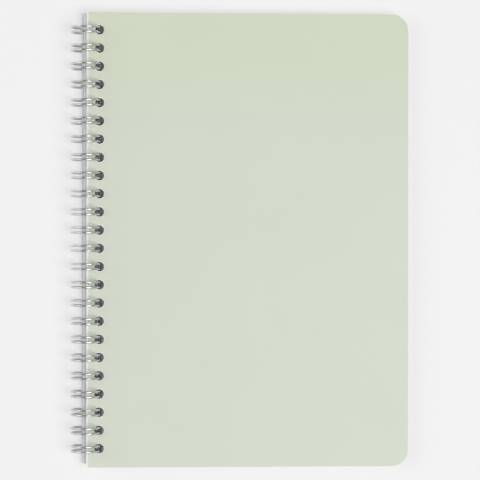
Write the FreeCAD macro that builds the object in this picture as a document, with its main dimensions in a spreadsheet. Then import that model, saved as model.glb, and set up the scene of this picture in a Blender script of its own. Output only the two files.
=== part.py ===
# Twin-loop bound A5 notebook, closed and lying on its back cover.
#
# Millimetres, +Z up. +X runs from the loops to the fore-edge, +Y to the head of the pages.
# The origin is the middle of the footprint, on the table.
# Every piece is drawn about the axis of the coil, which runs along Y: in a piece's own frame that axis is
# X = 0, Z = 0, and its Placement then carries it to its place.

import FreeCAD, Part
import Sketcher
import math
import os

V = FreeCAD.Vector

SIZES = {
    # the A5 pages
    "page_width": 148.0,
    "page_height": 210.0,
    "page_stack": 4.3,
    "page_corner_radius": 7.0,
    # the two covers: how much wider than the pages both are, and how far the front one stands past their tail
    "cover_overhang": 2.4,
    "cover_margin": 1.6,
    "cover_thickness": 0.5,
    "cover_corner_radius": 7.7,
    # the punched holes: to the spine edge, the row's place between head and tail, and the least length of page
    # past the middle of its end holes
    "hole_diameter": 4.4,
    "cover_hole_to_edge": 6.0,
    "page_hole_to_edge": 5.95,
    "row_offset": 0.35,
    "row_end": 6.5,
    # the wire: three loops to the inch
    "loop_pitch": 8.4667,
    "leg_spacing": 2.3,
    "coil_diameter": 14.3,
    "wire_diameter": 1.0,
    "spine_bend": 1.0,
    "tip_gap": 1.6,
    # gaps between one piece and the next
    "cover_over_wire": 0.8,
    "sheet_gap": 0.3,
    "spine_wire_gap": 0.15,
    "groove_gap": 0.5,
    # how far each piece is pushed along in the play of its holes
    "front_play": -0.25,
    "page_play": -0.2,
    "page_skew": -0.13,
    "back_play": -0.2,
    # the bend that brings the sheets down from over the wire to the table
    "land_behind_holes": 1.0,
    "bend_length": 28.0,
}

# How finely what repeats along the row is stepped: the covers' holes, the pages' holes, the rings and the
# wire's round section.
COVER_HOLE_SIDES = 14
PAGE_HOLE_SIDES = 12
RING_STEPS = 13
WIRE_SIDES = 6

# Levels and places in the coil's frame, written as formulas over the sizes.
OUTER = "(sizes.coil_diameter / 2)"
RING = f"({OUTER} - sizes.wire_diameter / 2)"
DROP = "(sizes.wire_diameter + sizes.cover_over_wire)"

COVER_WIDTH = "(sizes.page_width + sizes.cover_overhang)"
FRONT_HEIGHT = "(sizes.page_height + sizes.cover_margin)"
# the pages and the back cover are equally high and lie flush with the front cover at the head
PAGE_MIDDLE = "(sizes.cover_margin / 2)"

BACK_UNDERSIDE = f"({DROP} - {OUTER})"
PAGE_UNDERSIDE = f"({BACK_UNDERSIDE} + sizes.cover_thickness + sizes.sheet_gap)"
PAGE_TOP = f"({PAGE_UNDERSIDE} + sizes.page_stack)"
FRONT_UNDERSIDE = f"({PAGE_TOP} + sizes.sheet_gap)"


def on_ring(level):
    """How far the wire's centre line stands from the coil's axis at a level."""
    return f"sqrt({RING}^2 - ({level})^2)"


BACK_HOLE_X = f"({on_ring(BACK_UNDERSIDE + ' + sizes.cover_thickness / 2')} + sizes.back_play)"
FRONT_HOLE_X = f"({on_ring(FRONT_UNDERSIDE + ' + sizes.cover_thickness / 2')} + sizes.front_play)"
PAGE_HOLE_TOP_X = f"({on_ring(PAGE_TOP)} + sizes.page_play)"
PAGE_HOLE_UNDER_X = f"({on_ring(PAGE_UNDERSIDE)} + sizes.page_play)"

BACK_EDGE_X = f"({BACK_HOLE_X} - sizes.cover_hole_to_edge)"
FRONT_EDGE_X = f"({FRONT_HOLE_X} - sizes.cover_hole_to_edge)"
FRONT_RIGHT_X = f"({FRONT_EDGE_X} + {COVER_WIDTH})"

BEND_START_X = f"({FRONT_HOLE_X} + sizes.hole_diameter / 2 + sizes.land_behind_holes)"
BEND_END_X = f"({BEND_START_X} + sizes.bend_length)"
BEND_RADIUS = f"((sizes.bend_length^2 + {DROP}^2) / (4 * {DROP}))"

BRIDGE_Z = f"({BACK_UNDERSIDE} + sizes.cover_thickness + sizes.wire_diameter / 2 + sizes.spine_wire_gap)"
BRIDGE_X = on_ring(BRIDGE_Z)

# as many loops as the pages' height has room for
LOOP_COUNT = "(floor((sizes.page_height - 2 * sizes.row_end) / sizes.loop_pitch) + 1)"
ROW_LENGTH = f"(({LOOP_COUNT} - 1) * sizes.loop_pitch)"
FIRST_HOLE_Y = f"(sizes.row_offset - {ROW_LENGTH} / 2)"

COIL_X = f"(({OUTER} - {FRONT_RIGHT_X}) / 2)"
COIL_Z = OUTER

# The front cover leans on the pages: level with them at the coil, down by the drop at the fore-edge.
FRONT_LEAN = f"asin({DROP} / {FRONT_RIGHT_X})"

doc = FreeCAD.newDocument("notebook")

sheet = doc.addObject("Spreadsheet::Sheet", "sizes")
for row, (alias, size) in enumerate(SIZES.items(), start=1):
    sheet.set(f"A{row}", alias)
    sheet.set(f"B{row}", str(size))
    sheet.setAlias(f"B{row}", alias)
doc.recompute()


def amount(formula):
    """The present value of a formula over the sizes, as a plain number."""
    found = sheet.evalExpression(formula)
    return float(getattr(found, "Value", found))


def new_body(name):
    body = doc.addObject("PartDesign::Body", name)
    body.Label = name
    body.setExpression("Placement.Base.x", COIL_X)
    body.setExpression("Placement.Base.z", COIL_Z)
    return body


def turn_about(body, axis, angle):
    """Turn a finished body about an axis through the coil."""
    body.Placement = FreeCAD.Placement(body.Placement.Base, FreeCAD.Rotation(axis, amount(angle)))
    body.setExpression("Placement.Rotation.Angle", angle)


def origin_feature(body, role):
    return next(item for item in body.Origin.OriginFeatures if item.Role == role)


def new_sketch(body, name, plane, height="0"):
    """A sketch on one of the body's own origin planes, raised to a height above it."""
    sketch = body.newObject("Sketcher::SketchObject", name)
    sketch.AttachmentSupport = (origin_feature(body, plane), "")
    sketch.MapMode = "FlatFace"
    sketch.setExpression("AttachmentOffset.Base.z", height)
    return sketch


def dimension(sketch, name, kind, *where, size):
    """Add one dimension to a sketch and bind it to a formula."""
    number = sketch.addConstraint(Sketcher.Constraint(kind, *where, amount(size)))
    sketch.renameConstraint(number, name)
    sketch.setExpression(f"Constraints.{name}", size)


def add_line(sketch, start, end):
    return sketch.addGeometry(Part.LineSegment(V(*start, 0), V(*end, 0)), False)


def add_arc(sketch, centre, radius, start, end):
    """An arc that turns anticlockwise from one angle to another, in radians."""
    circle = Part.Circle(V(*centre, 0), V(0, 0, 1), radius)
    return sketch.addGeometry(Part.ArcOfCircle(circle, start, end), False)


def rectangle_sketch(body, name, plane, left, right, low, high, height="0"):
    """A sketch of a rectangle between two places across and two up the plane."""
    sketch = new_sketch(body, name, plane, height)
    x = (amount(left), amount(right))
    y = (amount(low), amount(high))
    corners = [(x[0], y[0]), (x[1], y[0]), (x[1], y[1]), (x[0], y[1])]
    for number in range(4):
        add_line(sketch, corners[number], corners[(number + 1) % 4])
    for number in range(4):
        sketch.addConstraint(Sketcher.Constraint("Coincident", number, 2, (number + 1) % 4, 1))
        sketch.addConstraint(Sketcher.Constraint("Vertical" if number % 2 else "Horizontal", number))
    dimension(sketch, "left", "DistanceX", -1, 1, 0, 1, size=left)
    dimension(sketch, "right", "DistanceX", -1, 1, 0, 2, size=right)
    dimension(sketch, "low", "DistanceY", 0, 1, -1, 1, size=f"-({low})")
    dimension(sketch, "height", "DistanceY", 0, 1, 2, 1, size=f"({high}) - ({low})")
    return sketch


def cut_through(body, name, sketch):
    """Cut a sketch's outline right through the body, both ways from its plane."""
    pocket = body.newObject("PartDesign::Pocket", name)
    pocket.Profile = sketch
    pocket.Type = "ThroughAll"
    pocket.Midplane = True
    return pocket


def repeat_along_row(body, name, feature):
    """Repeat a cut at every loop of the wire."""
    pattern = body.newObject("PartDesign::LinearPattern", name)
    pattern.Originals = [feature]
    pattern.Direction = (origin_feature(body, "Y_Axis"), [""])
    pattern.setExpression("Length", ROW_LENGTH)
    pattern.setExpression("Occurrences", LOOP_COUNT)
    body.Tip = pattern


def hole_sketch(body, name, sides, x, height="0"):
    """Outline of the first hole of the row: round, drawn as a polygon around its circle."""
    sketch = new_sketch(body, name, "XY_Plane", height)
    corner_diameter = f"(sizes.hole_diameter / cos(180 deg / {sides}))"
    centre = V(amount(x), amount(FIRST_HOLE_Y), 0)
    reach = amount(corner_diameter) / 2
    corners = []
    for number in range(sides):
        angle = 2 * math.pi * (number - 0.5) / sides
        corners.append((centre.x + reach * math.cos(angle), centre.y + reach * math.sin(angle)))
    for number in range(sides):
        add_line(sketch, corners[number], corners[(number + 1) % sides])
    rim = sketch.addGeometry(Part.Circle(centre, V(0, 0, 1), reach), True)
    for number in range(sides):
        following = (number + 1) % sides
        sketch.addConstraint(Sketcher.Constraint("Coincident", number, 2, following, 1))
        sketch.addConstraint(Sketcher.Constraint("PointOnObject", number, 1, rim))
        if following:
            sketch.addConstraint(Sketcher.Constraint("Equal", number, following))
    sketch.addConstraint(Sketcher.Constraint("Vertical", 0))
    dimension(sketch, "from_axis", "DistanceX", -1, 1, rim, 3, size=x)
    dimension(sketch, "along_row", "DistanceY", rim, 3, -1, 1, size=f"-{FIRST_HOLE_Y}")
    dimension(sketch, "corners", "Diameter", rim, size=corner_diameter)
    return sketch


def punch_cover(body, hole_x):
    hole = hole_sketch(body, body.Name + "_hole_sketch", COVER_HOLE_SIDES, hole_x)
    punched = cut_through(body, body.Name + "_hole", hole)
    repeat_along_row(body, body.Name + "_holes", punched)


def round_corners(body, right, middle, half_height, radius):
    """Trim the two corners at the fore-edge to a radius."""
    sketch = new_sketch(body, body.Name + "_corner_sketch", "XY_Plane")
    x = amount(right)
    r = amount(radius)
    for number, side in enumerate((1, -1)):
        y = amount(middle) + side * amount(half_height)
        first = 3 * number
        add_line(sketch, (x - r, y), (x, y))
        add_line(sketch, (x, y), (x, y - side * r))
        if side > 0:
            add_arc(sketch, (x - r, y - r), r, 0, math.pi / 2)
            start, end = 1, 2
        else:
            add_arc(sketch, (x - r, y + r), r, 3 * math.pi / 2, 2 * math.pi)
            start, end = 2, 1
        sketch.addConstraint(Sketcher.Constraint("Coincident", first, 2, first + 1, 1))
        sketch.addConstraint(Sketcher.Constraint("Tangent", first, 1, first + 2, end))
        sketch.addConstraint(Sketcher.Constraint("Tangent", first + 1, 2, first + 2, start))
        sketch.addConstraint(Sketcher.Constraint("Horizontal", first))
        sketch.addConstraint(Sketcher.Constraint("Vertical", first + 1))
        tag = "head" if side > 0 else "tail"
        dimension(sketch, "right_" + tag, "DistanceX", -1, 1, first, 2, size=right)
        dimension(sketch, "edge_" + tag, "DistanceY", -1, 1, first, 2,
                  size=f"({middle}) + ({side}) * ({half_height})")
        dimension(sketch, "radius_" + tag, "Radius", first + 2, size=radius)
    cut_through(body, body.Name + "_corners", sketch)


def upright_pad(body, sketch, height, middle):
    """Draw a section out along Y, to both sides of a middle."""
    pad = body.newObject("PartDesign::Pad", body.Name + "_sheet")
    pad.Profile = sketch
    pad.Midplane = True
    pad.setExpression("Length", height)
    # the section's plane looks along -Y
    sketch.setExpression("AttachmentOffset.Base.z", f"-({middle})")


def bent_section(body, underside, thickness, shoulder, left, right):
    """Section of a sheet that lies high over the wire, bends down and runs on low to the fore-edge.

    The outline starts at the spine and runs along the underside: high run, crest arc, trough arc, low run.
    It comes back over the top: low run, trough arc, crest arc, high run. Arcs above each other share a centre.
    shoulder is the radius of the underside's crest arc; left and right are formulas of a level's ends.
    """
    sketch = new_sketch(body, body.Name + "_section", "XZ_Plane")
    low = f"({underside} - {DROP})"
    thick = amount(thickness)
    high_z = amount(underside)
    low_z = amount(low)
    start_x = amount(BEND_START_X)
    end_x = amount(BEND_END_X)
    crest = amount(shoulder)
    trough = 2 * amount(BEND_RADIUS) - crest
    slope = math.atan2(end_x - start_x, crest + trough - amount(DROP))
    crest_centre = (start_x, high_z - crest)
    trough_centre = (end_x, low_z + trough)
    down = -math.pi / 2
    up = math.pi / 2

    add_line(sketch, (amount(left(underside)), high_z), (start_x, high_z))
    add_arc(sketch, crest_centre, crest, up - slope, up)
    add_arc(sketch, trough_centre, trough, down - slope, down)
    add_line(sketch, (end_x, low_z), (amount(right(underside)), low_z))
    add_line(sketch, (amount(right(f"{underside} + {thickness}")), low_z + thick), (end_x, low_z + thick))
    add_arc(sketch, trough_centre, trough - thick, down - slope, down)
    add_arc(sketch, crest_centre, crest + thick, up - slope, up)
    add_line(sketch, (start_x, high_z + thick), (amount(left(f"{underside} + {thickness}")), high_z + thick))
    for first, first_end, second, second_end in (
            (0, 2, 1, 2), (1, 1, 2, 1), (2, 2, 3, 1), (4, 2, 5, 2), (5, 1, 6, 1), (6, 2, 7, 1)):
        sketch.addConstraint(Sketcher.Constraint("Tangent", first, first_end, second, second_end))
    sketch.addConstraint(Sketcher.Constraint("Horizontal", 0))
    sketch.addConstraint(Sketcher.Constraint("Horizontal", 3))
    sketch.addConstraint(Sketcher.Constraint("Coincident", 1, 3, 6, 3))
    sketch.addConstraint(Sketcher.Constraint("Coincident", 2, 3, 5, 3))
    dimension(sketch, "high_level", "DistanceY", 0, 1, -1, 1, size=f"-({underside})")
    dimension(sketch, "drop", "DistanceY", 3, 2, 0, 1, size=DROP)
    dimension(sketch, "thickness", "DistanceY", 3, 2, 4, 1, size=thickness)
    dimension(sketch, "bend_start", "DistanceX", -1, 1, 0, 2, size=BEND_START_X)
    dimension(sketch, "bend_end", "DistanceX", -1, 1, 3, 1, size=BEND_END_X)
    dimension(sketch, "shoulder", "Radius", 1, size=shoulder)
    return sketch


def straight_ends(sketch, left, right):
    """Close a bent section with upright cut edges."""
    add_line(sketch, (amount(left), amount(BACK_UNDERSIDE)), (amount(left), amount(PAGE_UNDERSIDE)))
    add_line(sketch, (amount(right), amount(BACK_UNDERSIDE)), (amount(right), amount(PAGE_UNDERSIDE)))
    for end, low, high in ((8, (0, 1), (7, 2)), (9, (3, 2), (4, 1))):
        sketch.addConstraint(Sketcher.Constraint("Coincident", end, 1, *low))
        sketch.addConstraint(Sketcher.Constraint("Coincident", end, 2, *high))
        sketch.addConstraint(Sketcher.Constraint("Vertical", end))
    dimension(sketch, "spine_edge", "DistanceX", 0, 1, -1, 1, size=f"-({left})")
    dimension(sketch, "fore_edge", "DistanceX", -1, 1, 3, 2, size=right)


def sheared_ends(sketch):
    """Close a bent section with arcs: each sheet hangs at its own place round the coil."""
    ring = amount(RING)
    low_angle = math.asin(amount(PAGE_UNDERSIDE) / ring)
    high_angle = math.asin(amount(PAGE_TOP) / ring)
    spine_centre = "(sizes.page_play - sizes.page_hole_to_edge)"
    fore_centre = f"({spine_centre} + sizes.page_width)"
    add_arc(sketch, (amount(spine_centre), 0), ring, low_angle, high_angle)
    add_arc(sketch, (amount(fore_centre), -amount(DROP)), ring, low_angle, high_angle)
    for end, low, high in ((8, (0, 1), (7, 2)), (9, (3, 2), (4, 1))):
        sketch.addConstraint(Sketcher.Constraint("Coincident", end, 1, *low))
        sketch.addConstraint(Sketcher.Constraint("Coincident", end, 2, *high))
        dimension(sketch, f"ring_{end}", "Radius", end, size=RING)
    dimension(sketch, "spine_centre", "DistanceX", 8, 3, -1, 1, size=f"-{spine_centre}")
    sketch.addConstraint(Sketcher.Constraint("PointOnObject", 8, 3, -1))
    dimension(sketch, "fore_centre", "DistanceX", -1, 1, 9, 3, size=fore_centre)
    dimension(sketch, "fore_drop", "DistanceY", 9, 3, -1, 1, size=DROP)


def build_front_cover():
    body = new_body("front_cover")
    outline = rectangle_sketch(body, "front_cover_outline", "XY_Plane", FRONT_EDGE_X, FRONT_RIGHT_X,
                               f"-{FRONT_HEIGHT} / 2", f"{FRONT_HEIGHT} / 2", FRONT_UNDERSIDE)
    board = body.newObject("PartDesign::Pad", "front_cover_sheet")
    board.Profile = outline
    board.setExpression("Length", "sizes.cover_thickness")
    doc.recompute()
    round_corners(body, FRONT_RIGHT_X, "0", f"{FRONT_HEIGHT} / 2", "sizes.cover_corner_radius")
    punch_cover(body, FRONT_HOLE_X)
    turn_about(body, V(0, 1, 0), FRONT_LEAN)
    return body


def build_back_cover():
    body = new_body("back_cover")
    fore_edge = f"({BACK_EDGE_X} + {COVER_WIDTH})"
    section = bent_section(body, BACK_UNDERSIDE, "sizes.cover_thickness",
                           f"({BEND_RADIUS} - sizes.cover_thickness / 2)",
                           lambda level: BACK_EDGE_X, lambda level: fore_edge)
    straight_ends(section, BACK_EDGE_X, fore_edge)
    upright_pad(body, section, "sizes.page_height", PAGE_MIDDLE)
    doc.recompute()
    round_corners(body, fore_edge, PAGE_MIDDLE, "sizes.page_height / 2", "sizes.cover_corner_radius")
    punch_cover(body, BACK_HOLE_X)
    return body


def build_page_block():
    body = new_body("page_block")
    half = "sizes.page_height / 2"
    shear = "(sizes.page_play - sizes.page_hole_to_edge)"
    crest = f"({BEND_RADIUS} + sizes.cover_thickness / 2 + sizes.sheet_gap)"
    section = bent_section(body, PAGE_UNDERSIDE, "sizes.page_stack", crest,
                           lambda level: f"({on_ring(level)} + {shear})",
                           lambda level: f"({on_ring(level)} + {shear} + sizes.page_width)")
    sheared_ends(section)
    upright_pad(body, section, "sizes.page_height", PAGE_MIDDLE)
    doc.recompute()
    fore_edge = f"({PAGE_HOLE_TOP_X} - sizes.page_hole_to_edge + sizes.page_width)"
    round_corners(body, fore_edge, PAGE_MIDDLE, half, "sizes.page_corner_radius")

    # the last sheets arch over the straight stretches of the wire
    clear = "(sizes.wire_diameter / 2 + sizes.groove_gap)"
    groove = rectangle_sketch(body, "page_block_groove_sketch", "XZ_Plane",
                              f"{BRIDGE_X} - {clear}", f"{BRIDGE_X} + {clear}",
                              BACK_UNDERSIDE, f"{BRIDGE_Z} + {clear}")
    cut_through(body, "page_block_groove", groove)

    # each hole leans with the stack, from the place of the first sheet to that of the last
    top = hole_sketch(body, "page_block_hole_sketch", PAGE_HOLE_SIDES, PAGE_HOLE_TOP_X, PAGE_TOP)
    hole = body.newObject("PartDesign::Pocket", "page_block_hole")
    hole.Profile = top
    hole.setExpression("Length", "sizes.page_stack")
    hole.UseCustomVector = True
    hole.setExpression("Direction.x", f"{PAGE_HOLE_UNDER_X} - {PAGE_HOLE_TOP_X}")
    hole.setExpression("Direction.y", "0")
    hole.setExpression("Direction.z", "-sizes.page_stack")
    doc.recompute()
    repeat_along_row(body, "page_block_holes", hole)
    turn_about(body, V(0, 0, 1), "sizes.page_skew")
    return body


# The corners of the wire's section stand far enough out to give it the area of the round wire.
WIRE_CORNER = (amount("sizes.wire_diameter") / 2
               * math.sqrt(2 * math.pi / (WIRE_SIDES * math.sin(2 * math.pi / WIRE_SIDES))))


def wire_path():
    """Centre line of the whole wire, as straight steps laid on the coil's round.

    arc is a length round the coil from the spine line, negative towards the table side. One leg of a loop
    leaves the straight stretch by a bend, runs round the coil, turns back in a tip beside its own root, and
    the other leg mirrors it.
    """
    half_gap = amount("sizes.leg_spacing / 2")
    bend = amount("sizes.spine_bend")
    tip = amount("sizes.tip_gap")
    reach = amount(OUTER)
    half_step = math.pi / RING_STEPS
    path_radius = reach - WIRE_CORNER / math.cos(half_step)
    spine_angle = math.atan2(amount(BRIDGE_Z), amount(BRIDGE_X))
    turn = 2 * math.pi * path_radius
    eighth = math.sqrt(0.5)

    leg = [(0.0, half_gap + bend), (-bend * (1 - eighth), half_gap + bend * (1 - eighth))]
    for step in range(RING_STEPS + 1):
        leg.append((-bend - (turn - bend - tip) * step / RING_STEPS, half_gap))
    leg.append((tip - turn - half_gap * eighth, half_gap * eighth))

    def on_coil(arc, across):
        angle = spine_angle + arc / path_radius
        return V(path_radius * math.cos(angle), across, path_radius * math.sin(angle))

    path = []
    for loop in range(int(amount(LOOP_COUNT))):
        middle = amount(FIRST_HOLE_Y) + loop * amount("sizes.loop_pitch")
        path += [on_coil(arc, middle - across) for arc, across in leg]
        path += [on_coil(arc, middle + across) for arc, across in reversed(leg)]
    return path


def build_wire():
    path = wire_path()
    along = (path[1] - path[0]).normalize()
    side = along.cross(V(0, 0, 1)).normalize()
    up = along.cross(side)
    corners = []
    for number in range(WIRE_SIDES + 1):
        angle = 2 * math.pi * number / WIRE_SIDES
        corners.append(path[0] + (side * math.cos(angle) + up * math.sin(angle)) * WIRE_CORNER)
    section = Part.makePolygon(corners)
    wire = doc.addObject("Part::Feature", "twin_loop_wire")
    wire.Label = "twin_loop_wire"
    wire.Shape = Part.makePolygon(path).makePipeShell([section], True, False, 1)
    wire.Placement = FreeCAD.Placement(V(amount(COIL_X), 0, amount(COIL_Z)), FreeCAD.Rotation())
    return wire


pieces = [build_front_cover(), build_page_block(), build_back_cover(), build_wire()]
doc.recompute()

for item in doc.Objects:
    if "Invalid" in item.State or "Error" in item.State:
        raise RuntimeError(f"{item.Name} failed: {item.State}")
os.makedirs("parts", exist_ok=True)
for piece in pieces:
    if piece.Shape.isNull() or not piece.Shape.isValid():
        raise RuntimeError(f"{piece.Label} has no valid shape")
    piece.Shape.exportStep(f"parts/{piece.Label}.step")
    box = piece.Shape.BoundBox
    print(f"{piece.Label}: {len(piece.Shape.Solids)} solid, {piece.Shape.Volume:.1f} mm3,"
          f" x {box.XMin:.2f}..{box.XMax:.2f}, y {box.YMin:.2f}..{box.YMax:.2f},"
          f" z {box.ZMin:.2f}..{box.ZMax:.2f}")
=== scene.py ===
# %% [markdown]
# # A twin-loop notebook, seen from above
#
# The notebook lies closed on a pale table. Its covers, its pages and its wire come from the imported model,
# in metres and already in place. This lesson gives them their finishes, draws the wire again as one smooth
# round wire, and sets up the table, the light and the camera.

# %% Load the frame
import math

import bpy
from mathutils import Matrix, Vector


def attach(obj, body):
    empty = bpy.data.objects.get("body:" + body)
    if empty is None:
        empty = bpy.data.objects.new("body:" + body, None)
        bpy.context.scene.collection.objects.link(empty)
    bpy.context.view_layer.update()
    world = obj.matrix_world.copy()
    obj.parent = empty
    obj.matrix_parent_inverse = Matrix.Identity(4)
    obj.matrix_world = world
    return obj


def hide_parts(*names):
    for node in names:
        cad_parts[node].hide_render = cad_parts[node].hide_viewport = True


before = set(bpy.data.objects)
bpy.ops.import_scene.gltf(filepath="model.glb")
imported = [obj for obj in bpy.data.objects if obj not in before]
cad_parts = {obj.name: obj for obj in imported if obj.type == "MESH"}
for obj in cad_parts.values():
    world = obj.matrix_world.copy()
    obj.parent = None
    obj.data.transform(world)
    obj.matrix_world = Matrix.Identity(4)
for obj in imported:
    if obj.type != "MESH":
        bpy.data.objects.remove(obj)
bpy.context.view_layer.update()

MM = 0.001
print("nodes:", sorted(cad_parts))

# %% [markdown]
# ## Values that several pieces share
#
# A twin-loop wire is one round steel wire bent to a row of double loops. All its places follow from the
# coil's diameter, the pitch of the loops (three to the inch) and the wire's own diameter, so they are
# written once here. The middles of the holes lie near the wire's own round. The covers' spine edges are read
# from the model.

# %% The notebook's sizes
COIL_RADIUS = 7.15 * MM  # of the full coil, and how high its axis lies over the table
COIL_REACH = 6.99 * MM  # of the smooth wire's outside, which stays inside the model's box
WIRE_RADIUS = 0.5 * MM
LOOP_COUNT = 24
LOOP_PITCH = 8.4667 * MM
ROW_OFFSET = 0.35 * MM  # the middle of the row of holes, towards the head
LEG_SPACING = 2.3 * MM  # between the two legs of one loop
SPINE_BEND = 1.0 * MM  # radius of the bend from a leg to the straight stretch at the spine
TIP_GAP = 1.6 * MM  # between a tip and the straight stretch that it closes on
COIL_AXIS = Vector((-71.822 * MM, 0.0, COIL_RADIUS))  # both covers turn about it
BRIDGE_HEIGHT = -4.2 * MM  # of the straight stretches, from the coil's axis
HOLE_X = -65.43 * MM
HOLE_RADIUS = 2.2 * MM
FRONT_EDGE_X = -71.43 * MM
BACK_EDGE_X = -73.75 * MM
print("row of loops:", round((LOOP_COUNT - 1) * LOOP_PITCH / MM, 1), "mm long")

# %% [markdown]
# ## Shared effects
#
# Card and paper are both felted fibre: very fine, uneven and matt. One node group gives that grain to both,
# with its own size in each material. A second group finds the cut edges, which are the faces whose normal
# points sideways in the piece's own frame. It works on the piece's own normals, so it turns with a cover
# that opens.

# %% A helper for node groups


def new_group(name, inputs, outputs):
    """An empty shader group with named sockets."""
    group = bpy.data.node_groups.new(name, "ShaderNodeTree")
    for way, sockets in (("INPUT", inputs), ("OUTPUT", outputs)):
        for label, kind in sockets:
            group.interface.new_socket(label, in_out=way, socket_type=kind)
    return group, group.nodes.new("NodeGroupInput"), group.nodes.new("NodeGroupOutput")


# %% Helpers for numbers and places


def put(tree, socket, value):
    """Link a socket's value, or set a number or a colour on it."""
    if isinstance(value, bpy.types.NodeSocket):
        tree.links.new(value, socket)
    elif isinstance(value, tuple):
        socket.default_value = (*value, 1.0)
    else:
        socket.default_value = value


def maths(tree, operation, first, second=None):
    """A Math node. Each input is either a socket to link or a number to set."""
    node = tree.nodes.new("ShaderNodeMath")
    node.operation = operation
    put(tree, node.inputs[0], first)
    if second is not None:
        put(tree, node.inputs[1], second)
    return node.outputs[0]


def split(tree, vector):
    """The X, Y and Z of a vector socket."""
    node = tree.nodes.new("ShaderNodeSeparateXYZ")
    tree.links.new(vector, node.inputs[0])
    return node.outputs


def ramp(tree, value, start, end, low=0.0, high=1.0, smooth=False):
    """A number that goes from low, where the value is at its start, to high, where it is at its end."""
    node = tree.nodes.new("ShaderNodeMapRange")
    if smooth:
        node.interpolation_type = "SMOOTHSTEP"
    for label, number in (("From Min", start), ("From Max", end), ("To Min", low), ("To Max", high)):
        node.inputs[label].default_value = number
    tree.links.new(value, node.inputs["Value"])
    return node.outputs["Result"]


def noise(tree, vector, scale, detail=2.0):
    """An even random cloud, with so many bumps per metre."""
    node = tree.nodes.new("ShaderNodeTexNoise")
    tree.links.new(vector, node.inputs["Vector"])
    put(tree, node.inputs["Scale"], scale)
    node.inputs["Detail"].default_value = detail
    return node.outputs["Fac"]


# %% The fibre grain group
FINE_DETAIL = 3.0
CLOUDS_PER_METRE = 22.0


def build_fibre_grain():
    """Height: the fine grain. Cloud: the slow unevenness of a sheet's colour."""
    group, given, made = new_group(
        "fibre_grain",
        [("Vector", "NodeSocketVector"), ("Grain per metre", "NodeSocketFloat")],
        [("Height", "NodeSocketFloat"), ("Cloud", "NodeSocketFloat")])
    place = given.outputs["Vector"]
    fine = noise(group, place, given.outputs["Grain per metre"], FINE_DETAIL)
    group.links.new(fine, made.inputs["Height"])
    group.links.new(noise(group, place, CLOUDS_PER_METRE), made.inputs["Cloud"])
    return group


fibre_grain = build_fibre_grain()
print("group:", fibre_grain.name)


# %% The cut edge group
FACE_UPRIGHT = 0.5  # a face whose normal has less of Z than this, up or down, is a cut edge


def build_cut_edge():
    group, given, made = new_group(
        "cut_edge", [("Normal", "NodeSocketVector")], [("Edge", "NodeSocketFloat")])
    upright = maths(group, "ABSOLUTE", split(group, given.outputs["Normal"])["Z"])
    group.links.new(maths(group, "LESS_THAN", upright, FACE_UPRIGHT), made.inputs["Edge"])
    return group


cut_edge = build_cut_edge()
print("group:", cut_edge.name)

# %% [markdown]
# A punch cuts the whole row of holes at the pitch of the loops, so one group can find every hole: it folds
# the length along the row back to one pitch and measures from the middle of that hole. It stops where the
# row stops.


# %% The punched row group
def build_punched_row():
    """Near hole: 1 within Reach of the middle of any hole, else 0."""
    group, given, made = new_group(
        "punched_row", [("Vector", "NodeSocketVector"), ("Reach", "NodeSocketFloat")],
        [("Near hole", "NodeSocketFloat")])
    place = split(group, given.outputs["Vector"])
    first_hole = ROW_OFFSET - (LOOP_COUNT - 1) / 2 * LOOP_PITCH
    along = maths(group, "SUBTRACT", place["Y"], first_hole - LOOP_PITCH / 2)
    folded = maths(group, "SUBTRACT", maths(group, "FLOORED_MODULO", along, LOOP_PITCH), LOOP_PITCH / 2)
    across = maths(group, "SUBTRACT", place["X"], HOLE_X)
    square = maths(group, "ADD", maths(group, "MULTIPLY", folded, folded),
                   maths(group, "MULTIPLY", across, across))
    near = maths(group, "LESS_THAN", maths(group, "SQRT", square), given.outputs["Reach"])
    from_middle = maths(group, "ABSOLUTE", maths(group, "SUBTRACT", place["Y"], ROW_OFFSET))
    in_row = maths(group, "LESS_THAN", from_middle, LOOP_COUNT / 2 * LOOP_PITCH)
    group.links.new(maths(group, "MULTIPLY", near, in_row), made.inputs["Near hole"])
    return group


punched_row = build_punched_row()
print("group:", punched_row.name)

# %% [markdown]
# ## The finishes
#
# The covers are smooth matt card, dyed a pale sage green on their faces and whiter where they were cut. The
# pages are plain white paper whose cut edges show as fine uneven lines, one per few sheets. The wire is
# bright drawn steel.
#
# The pale rims at the spine and round the front cover's holes are partly the card's pale core and partly a
# painted highlight. Some tones are matched to what was seen and aren't known to be in the material: the
# pale rims at the spine and round the front cover's holes, the yellower tint of the front cover towards its
# head, the lavender shade on the pages' spine edge and the darker walls of their holes. High on the pages'
# spine edge a lavender tone is painted shade under the front cover's edge, and the darker walls of the
# pages' holes are painted shade. They sit at places on the pieces, so they turn with them.


# %% Helpers for materials
def new_material(name, roughness=None, metallic=0.0):
    material = bpy.data.materials.new(name)
    material.use_nodes = True
    tree = material.node_tree
    shader = tree.nodes["Principled BSDF"]
    if roughness is not None:
        shader.inputs["Roughness"].default_value = roughness
    shader.inputs["Metallic"].default_value = metallic
    place = tree.nodes.new("ShaderNodeTexCoord")
    return material, tree, shader, place


def use_group(tree, group, values):
    node = tree.nodes.new("ShaderNodeGroup")
    node.node_tree = group
    for label, value in values.items():
        put(tree, node.inputs[label], value)
    return node.outputs


def mix_colours(tree, factor, first, second, blend="MIX"):
    """Mix two colours. Each is a socket to link or a colour to set."""
    node = tree.nodes.new("ShaderNodeMix")
    node.data_type = "RGBA"
    node.blend_type = blend
    tree.links.new(factor, node.inputs[0])
    put(tree, node.inputs[6], first)
    put(tree, node.inputs[7], second)
    return node.outputs[2]


def add_bump(tree, shader, height, strength, distance):
    bump = tree.nodes.new("ShaderNodeBump")
    bump.inputs["Strength"].default_value = strength
    bump.inputs["Distance"].default_value = distance
    tree.links.new(height, bump.inputs["Height"])
    tree.links.new(bump.outputs["Normal"], shader.inputs["Normal"])
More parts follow.
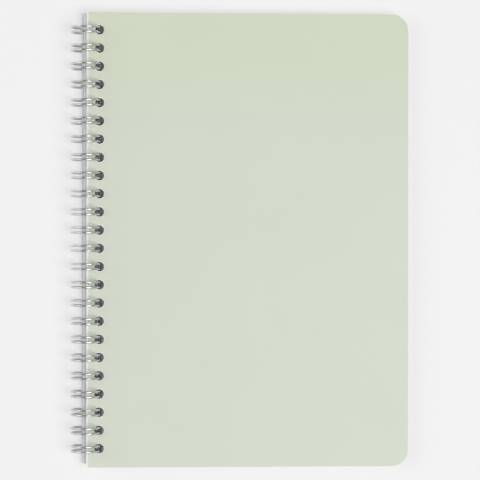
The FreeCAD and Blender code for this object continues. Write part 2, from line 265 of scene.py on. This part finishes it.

# %% [markdown]
# Both covers are cut from one board, so one material serves for both. The grain is far finer than a pixel
# here and is a slight bump, not geometry. The pale rim at the spine is partly the card's pale core and
# partly a painted highlight where the edge catches the light. It starts at each cover's own edge, because
# the back cover reaches further under the coil than the front one.

# %% Cover card
CARD_ROUGHNESS = 0.6
CARD_GRAIN_PER_METRE = 3500.0
CARD_BUMP = 0.25
CARD_BUMP_DEPTH = 0.02 * MM
SAGE_LIGHT = (0.665, 0.708, 0.604)
SAGE_DEEP = (0.640, 0.684, 0.580)
HEAD_TINT = (0.98, 1.0, 0.925)
HEAD_START = 45 * MM
HEAD_END = 90 * MM
CARD_CUT = (0.79, 0.81, 0.75)
# pale rims: partly the card's pale core, partly a painted highlight along the cut edge
CARD_RIM_HIGHLIGHT = (0.84, 0.85, 0.85)
SPINE_RIM_HIGHLIGHT = 0.85 * MM
HOLE_RIM_HIGHLIGHT = 0.3 * MM
FRONT_LEVEL = 4.5 * MM  # between the two covers, in the place where the notebook lies closed


def cover_card():
    """One card for both covers. Only the front gets the tint and the hole rims, partly painted highlight."""
    material, tree, shader, place = new_material("cover_card", CARD_ROUGHNESS)
    at = split(tree, place.outputs["Object"])
    grain = use_group(tree, fibre_grain,
                      {"Vector": place.outputs["Object"], "Grain per metre": CARD_GRAIN_PER_METRE})
    edge = use_group(tree, cut_edge, {"Normal": place.outputs["Normal"]})
    is_front = maths(tree, "GREATER_THAN", at["Z"], FRONT_LEVEL)
    face = mix_colours(tree, grain["Cloud"], SAGE_DEEP, SAGE_LIGHT)
    to_head = ramp(tree, at["Y"], HEAD_START, HEAD_END, smooth=True)
    tinted = mix_colours(tree, maths(tree, "MULTIPLY", to_head, is_front), face, HEAD_TINT, "MULTIPLY")
    cut = mix_colours(tree, edge["Edge"], tinted, CARD_CUT)
    edge_gap = maths(tree, "MULTIPLY", is_front, FRONT_EDGE_X - BACK_EDGE_X)
    rim_highlight_end = maths(tree, "ADD", edge_gap, BACK_EDGE_X + SPINE_RIM_HIGHLIGHT)
    at_spine = maths(tree, "LESS_THAN", at["X"], rim_highlight_end)
    hole = use_group(tree, punched_row,
                     {"Vector": place.outputs["Object"], "Reach": HOLE_RADIUS + HOLE_RIM_HIGHLIGHT})
    # painted highlight, with the card's pale core, at the spine edge and round the front cover's holes
    rim_highlight = maths(tree, "MAXIMUM", at_spine, maths(tree, "MULTIPLY", hole["Near hole"], is_front))
    tree.links.new(mix_colours(tree, rim_highlight, cut, CARD_RIM_HIGHLIGHT), shader.inputs["Base Color"])
    add_bump(tree, shader, grain["Height"], CARD_BUMP, CARD_BUMP_DEPTH)
    return material


card = cover_card()
print("material:", card.name)

# %% [markdown]
# The model has the pages as one block, so the single sheets are drawn as lines on its cut edges: noise that
# is stretched long along the sheets and close across them. The sheets bend down beside the coil to lie
# flat, and the lines follow: what is added to the height over the length of the bend is what the sheets
# drop there.

# %% Page paper
PAPER_ROUGHNESS = 0.85
PAPER_GRAIN_PER_METRE = 5000.0
PAPER_BUMP = 0.4
PAPER_BUMP_DEPTH = 0.03 * MM
PAPER_WHITE = (0.86, 0.86, 0.88)
PAPER_LINE = (0.70, 0.69, 0.75)
# painted shade on the walls of the pages' holes
PAPER_HOLE_SHADE = (0.66, 0.65, 0.71)
# painted shade high on the pages' spine edge, under the front cover's edge
PAPER_PAINTED_SHADE = (0.66, 0.63, 0.70)
HOLE_SHADE_REACH = 0.9 * MM  # past the hole's radius, because the pages' holes lean with the coil
SHADE_START = 3.1 * MM
SHADE_END = 4.1 * MM
SPINE_SIDE_X = -70.0 * MM
BEND_START = -62.2 * MM
BEND_END = -34.2 * MM
BEND_DROP = 1.8 * MM
SHEET_LINES_PER_METRE = 5200.0
LINE_WAVES_PER_METRE = 14.0


def page_paper():
    material, tree, shader, place = new_material("page_paper", PAPER_ROUGHNESS)
    at = split(tree, place.outputs["Object"])
    grain = use_group(tree, fibre_grain,
                      {"Vector": place.outputs["Object"], "Grain per metre": PAPER_GRAIN_PER_METRE})
    edge = use_group(tree, cut_edge, {"Normal": place.outputs["Normal"]})
    bend = ramp(tree, at["X"], BEND_START, BEND_END, high=BEND_DROP, smooth=True)
    level = maths(tree, "ADD", at["Z"], bend)
    stretched = tree.nodes.new("ShaderNodeCombineXYZ")
    for axis, value, scale in (("X", at["X"], LINE_WAVES_PER_METRE), ("Y", at["Y"], LINE_WAVES_PER_METRE),
                               ("Z", level, SHEET_LINES_PER_METRE)):
        tree.links.new(maths(tree, "MULTIPLY", value, scale), stretched.inputs[axis])
    lines = noise(tree, stretched.outputs["Vector"], 1.0)
    shown = maths(tree, "MULTIPLY", lines, edge["Edge"])
    sheets = mix_colours(tree, shown, PAPER_WHITE, PAPER_LINE)
    # painted shade high on the spine edge, under the front cover's edge
    up_the_edge = ramp(tree, at["Z"], SHADE_START, SHADE_END)
    at_spine = maths(tree, "LESS_THAN", at["X"], SPINE_SIDE_X)
    shaded = mix_colours(tree, maths(tree, "MULTIPLY", up_the_edge, at_spine), sheets, PAPER_PAINTED_SHADE)
    hole = use_group(tree, punched_row,
                     {"Vector": place.outputs["Object"], "Reach": HOLE_RADIUS + HOLE_SHADE_REACH})
    # painted shade on the walls of the pages' holes
    hole_wall_shade = maths(tree, "MULTIPLY", hole["Near hole"], edge["Edge"])
    tree.links.new(mix_colours(tree, hole_wall_shade, shaded, PAPER_HOLE_SHADE), shader.inputs["Base Color"])
    add_bump(tree, shader, maths(tree, "ADD", shown, grain["Height"]), PAPER_BUMP, PAPER_BUMP_DEPTH)
    return material


paper = page_paper()
print("material:", paper.name)

# %% [markdown]
# The wire's look comes from what it mirrors, so it needs little more than bare metal with the faint marks
# that drawing it through a die leaves.

# %% Wire steel
STEEL_BRIGHT = (0.74, 0.74, 0.73)
STEEL_DULL = (0.62, 0.62, 0.61)
STEEL_SMOOTH = 0.22
STEEL_ROUGH = 0.36
MARKS_PER_METRE = 1400.0


def wire_steel():
    material, tree, shader, place = new_material("wire_steel", metallic=1.0)
    marks = noise(tree, place.outputs["Object"], MARKS_PER_METRE, FINE_DETAIL)
    tree.links.new(mix_colours(tree, marks, STEEL_DULL, STEEL_BRIGHT), shader.inputs["Base Color"])
    tree.links.new(ramp(tree, marks, 0.0, 1.0, STEEL_SMOOTH, STEEL_ROUGH), shader.inputs["Roughness"])
    return material


steel = wire_steel()
print("material:", steel.name)

# %% Give the covers and the pages their finishes
for node, material in (("front_cover", card), ("back_cover", card), ("page_block", paper)):
    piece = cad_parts[node]
    piece.data.materials.clear()
    piece.data.materials.append(material)
    print(node, "->", material.name)

# %% [markdown]
# ## The wire
#
# On the real notebook one wire makes the whole row. From a short straight stretch at the spine it bends
# into a leg, runs round the coil through a hole, turns back in a narrow tip and comes home beside itself. A
# curve with a round bevel is the natural way to draw it: the points say where the wire's middle goes, and
# the bevel gives it its thickness. Every point is laid on the coil's round by two numbers: how far round,
# and how far along the row. The model's own wire is stepped and is a little lower at its top than the full
# coil, so this smooth one is drawn to that reach and stays inside the model's box.

# %% The wire's middle line
RING_STEPS = 44
BEND_STEPS = 5
TIP_STEPS = 8
BEVEL_STEPS = 3
PATH_RADIUS = COIL_REACH - WIRE_RADIUS
SPINE_ANGLE = math.atan2(BRIDGE_HEIGHT, math.sqrt(PATH_RADIUS ** 2 - BRIDGE_HEIGHT ** 2))


def on_coil(arc, along):
    """The place of a point that is an arc length round the coil and a length along the row."""
    angle = SPINE_ANGLE + arc / PATH_RADIUS
    return COIL_AXIS + Vector((PATH_RADIUS * math.cos(angle), along, PATH_RADIUS * math.sin(angle)))


def half_loop():
    """One leg, from the middle of the straight stretch to the middle of the tip, as (arc, side) pairs."""
    side = LEG_SPACING / 2
    round_trip = 2 * math.pi * PATH_RADIUS
    leg = []
    for step in range(BEND_STEPS + 1):
        turn = math.pi / 2 * step / BEND_STEPS
        leg.append((SPINE_BEND * (math.cos(turn) - 1), side + SPINE_BEND * (1 - math.sin(turn))))
    run = round_trip - SPINE_BEND - TIP_GAP
    leg += [(-SPINE_BEND - run * step / RING_STEPS, side) for step in range(1, RING_STEPS + 1)]
    for step in range(1, TIP_STEPS // 2 + 1):
        turn = math.pi * step / TIP_STEPS
        leg.append((TIP_GAP - round_trip - side * math.sin(turn), side * math.cos(turn)))
    return leg


leg = half_loop()
print("points in a leg:", len(leg))


# %% The wire itself
def build_wire():
    middle_line = []
    for loop in range(LOOP_COUNT):
        middle = ROW_OFFSET + (loop - (LOOP_COUNT - 1) / 2) * LOOP_PITCH
        middle_line += [on_coil(arc, middle - side) for arc, side in leg]
        middle_line += [on_coil(arc, middle + side) for arc, side in reversed(leg[:-1])]
    curve = bpy.data.curves.new("twin_loop_wire_round", "CURVE")
    curve.dimensions = "3D"
    curve.bevel_depth = WIRE_RADIUS
    curve.bevel_resolution = BEVEL_STEPS
    curve.use_fill_caps = True
    spline = curve.splines.new("POLY")
    spline.points.add(len(middle_line) - 1)
    for point, place in zip(spline.points, middle_line):
        point.co = (*place, 1.0)
    wire = bpy.data.objects.new("twin_loop_wire_round", curve)
    bpy.context.scene.collection.objects.link(wire)
    curve.materials.append(steel)
    return wire


wire = build_wire()
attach(wire, "pages_and_wire")
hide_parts("twin_loop_wire")
print("wire points:", len(wire.data.splines[0].points))

# %% [markdown]
# ## Table, light and camera
#
# The table is one plain pale surface. To the camera it shows a share of its own even colour, and the rest
# of it takes the notebook's shadow. It has no such share under the notebook, or it would shine up through
# the punched holes. Far out the share grows, so that the table stays even to the horizon.
#
# A large soft lamp stands high to the right, a little towards the foot, and a weaker one lower on the left
# lights the pages' edge at the spine. The room around gives an even fill that is brighter at the sides than
# overhead, which gives the steel its light and dark bands.

# %% The table
TABLE_PALE = (0.895, 0.895, 0.895)
TABLE_DARKER = 0.995  # how much of that paleness its slow clouds have
TABLE_CLOUDS_PER_METRE = 3.0
TABLE_ROUGHNESS = 0.9
TABLE_SHEEN = 0.1
TABLE_OWN_SHARE = 0.58
TABLE_NEAR = 0.3
TABLE_FAR = 0.9
TABLE_HALF = 4.0
TABLE_LEVEL = -0.02 * MM
UNDER_HALF_WIDTH = 73.0 * MM
UNDER_HALF_LENGTH = 103.5 * MM


def add_own_light(tree, shader, colour, share):
    """Rays that only look at a surface see a share of its own even colour. The rest of it takes shadows."""
    own = tree.nodes.new("ShaderNodeEmission")
    own.inputs["Color"].default_value = (*colour, 1.0)
    rays = tree.nodes.new("ShaderNodeLightPath").outputs
    seen = maths(tree, "MAXIMUM", rays["Is Camera Ray"], rays["Is Glossy Ray"])
    seen = maths(tree, "MAXIMUM", seen, rays["Is Transmission Ray"])
    mix = tree.nodes.new("ShaderNodeMixShader")
    tree.links.new(maths(tree, "MULTIPLY", seen, share), mix.inputs[0])
    tree.links.new(shader.outputs[0], mix.inputs[1])
    tree.links.new(own.outputs[0], mix.inputs[2])
    tree.links.new(mix.outputs[0], tree.nodes["Material Output"].inputs["Surface"])


def table_pale():
    material, tree, shader, place = new_material("table_pale", TABLE_ROUGHNESS)
    shader.inputs["Specular IOR Level"].default_value = TABLE_SHEEN
    cloud = noise(tree, place.outputs["Object"], TABLE_CLOUDS_PER_METRE)
    darker = tuple(TABLE_DARKER * part for part in TABLE_PALE)
    tree.links.new(mix_colours(tree, cloud, darker, TABLE_PALE), shader.inputs["Base Color"])
    distance = tree.nodes.new("ShaderNodeVectorMath")
    distance.operation = "LENGTH"
    tree.links.new(place.outputs["Object"], distance.inputs[0])
    share = ramp(tree, distance.outputs["Value"], TABLE_NEAR, TABLE_FAR, low=TABLE_OWN_SHARE)
    at = split(tree, place.outputs["Object"])
    beside = maths(tree, "GREATER_THAN", maths(tree, "ABSOLUTE", at["X"]), UNDER_HALF_WIDTH)
    beyond = maths(tree, "GREATER_THAN", maths(tree, "ABSOLUTE", at["Y"]), UNDER_HALF_LENGTH)
    in_open = maths(tree, "MAXIMUM", beside, beyond)
    add_own_light(tree, shader, TABLE_PALE, maths(tree, "MULTIPLY", share, in_open))
    return material


def build_table():
    mesh = bpy.data.meshes.new("table")
    corners = [(x * TABLE_HALF, y * TABLE_HALF, TABLE_LEVEL)
               for x, y in ((-1, -1), (1, -1), (1, 1), (-1, 1))]
    mesh.from_pydata(corners, [], [(0, 1, 2, 3)])
    mesh.materials.append(table_pale())
    table = bpy.data.objects.new("table", mesh)
    bpy.context.scene.collection.objects.link(table)
    return table


table = build_table()
print("table:", 2 * TABLE_HALF, "m wide")

# %% The light
LAMP_DISTANCE = 2.2
KEY_DIRECTION = Vector((0.42, -0.2, 0.885))
KEY_SIZE = 1.4
KEY_WATTS = 35.0
FILL_DIRECTION = Vector((-0.8, 0.1, 0.6))
FILL_SIZE = 1.6
FILL_WATTS = 18.0
ROOM_OVERHEAD = 0.12
ROOM_SIDE = 0.42


def build_lamp(name, direction, size, watts):
    """A square soft lamp that stands in a direction from the notebook and faces it."""
    light = bpy.data.lights.new(name, "AREA")
    light.shape = "SQUARE"
    light.size = size
    light.energy = watts
    lamp = bpy.data.objects.new(name, light)
    lamp.location = direction.normalized() * LAMP_DISTANCE
    lamp.rotation_euler = direction.to_track_quat("Z", "Y").to_euler()
    bpy.context.scene.collection.objects.link(lamp)
    return lamp


def build_room():
    """An even white room that the camera sees as a backdrop in the table's colour."""
    world = bpy.data.worlds.new("room")
    world.use_nodes = True
    tree = world.node_tree
    light = tree.nodes["Background"]
    light.inputs["Color"].default_value = (1.0, 1.0, 1.0, 1.0)
    place = tree.nodes.new("ShaderNodeTexCoord")
    height = split(tree, place.outputs["Generated"])["Z"]
    tree.links.new(ramp(tree, height, 0.0, 1.0, ROOM_SIDE, ROOM_OVERHEAD), light.inputs["Strength"])
    backdrop = tree.nodes.new("ShaderNodeBackground")
    backdrop.inputs["Color"].default_value = (*TABLE_PALE, 1.0)
    rays = tree.nodes.new("ShaderNodeLightPath")
    choice = tree.nodes.new("ShaderNodeMixShader")
    tree.links.new(rays.outputs["Is Camera Ray"], choice.inputs[0])
    tree.links.new(light.outputs[0], choice.inputs[1])
    tree.links.new(backdrop.outputs[0], choice.inputs[2])
    tree.links.new(choice.outputs[0], tree.nodes["World Output"].inputs["Surface"])
    bpy.context.scene.world = world


for name, direction, size, watts in (("key", KEY_DIRECTION, KEY_SIZE, KEY_WATTS),
                                     ("fill", FILL_DIRECTION, FILL_SIZE, FILL_WATTS)):
    lamp = build_lamp(name, direction, size, watts)
    print(name, "lamp at", [round(part, 2) for part in lamp.location])
build_room()

# %% [markdown]
# The camera looks almost straight down. Its place and turn are fitted to the notebook's outline and to its
# holes. A picture from above hardly tells the distance: a metre is one of several that fit. The focal
# length is written in pixels of the picture, because that is how it comes out of the fit.

# %% The camera
CAMERA_PLACE = Vector((-44.69 * MM, 0.01 * MM, 1000.0 * MM))
CAMERA_TILT = math.radians(-2.579)
CAMERA_ROLL = math.radians(0.059)
FOCAL_PIXELS = 2130.5
FRAME_PIXELS = 480.0
SENSOR_WIDTH = 36.0


def build_camera():
    data = bpy.data.cameras.new("camera")
    data.sensor_width = SENSOR_WIDTH
    data.lens = FOCAL_PIXELS / FRAME_PIXELS * SENSOR_WIDTH
    camera = bpy.data.objects.new("camera", data)
    turn = Matrix.Rotation(CAMERA_ROLL, 4, "Z") @ Matrix.Rotation(CAMERA_TILT, 4, "Y")
    camera.matrix_world = Matrix.Translation(CAMERA_PLACE) @ turn
    bpy.context.scene.collection.objects.link(camera)
    bpy.context.scene.camera = camera
    return camera


camera = build_camera()
bpy.context.scene.view_settings.view_transform = "Standard"
print("lens:", round(camera.data.lens, 1), "mm")
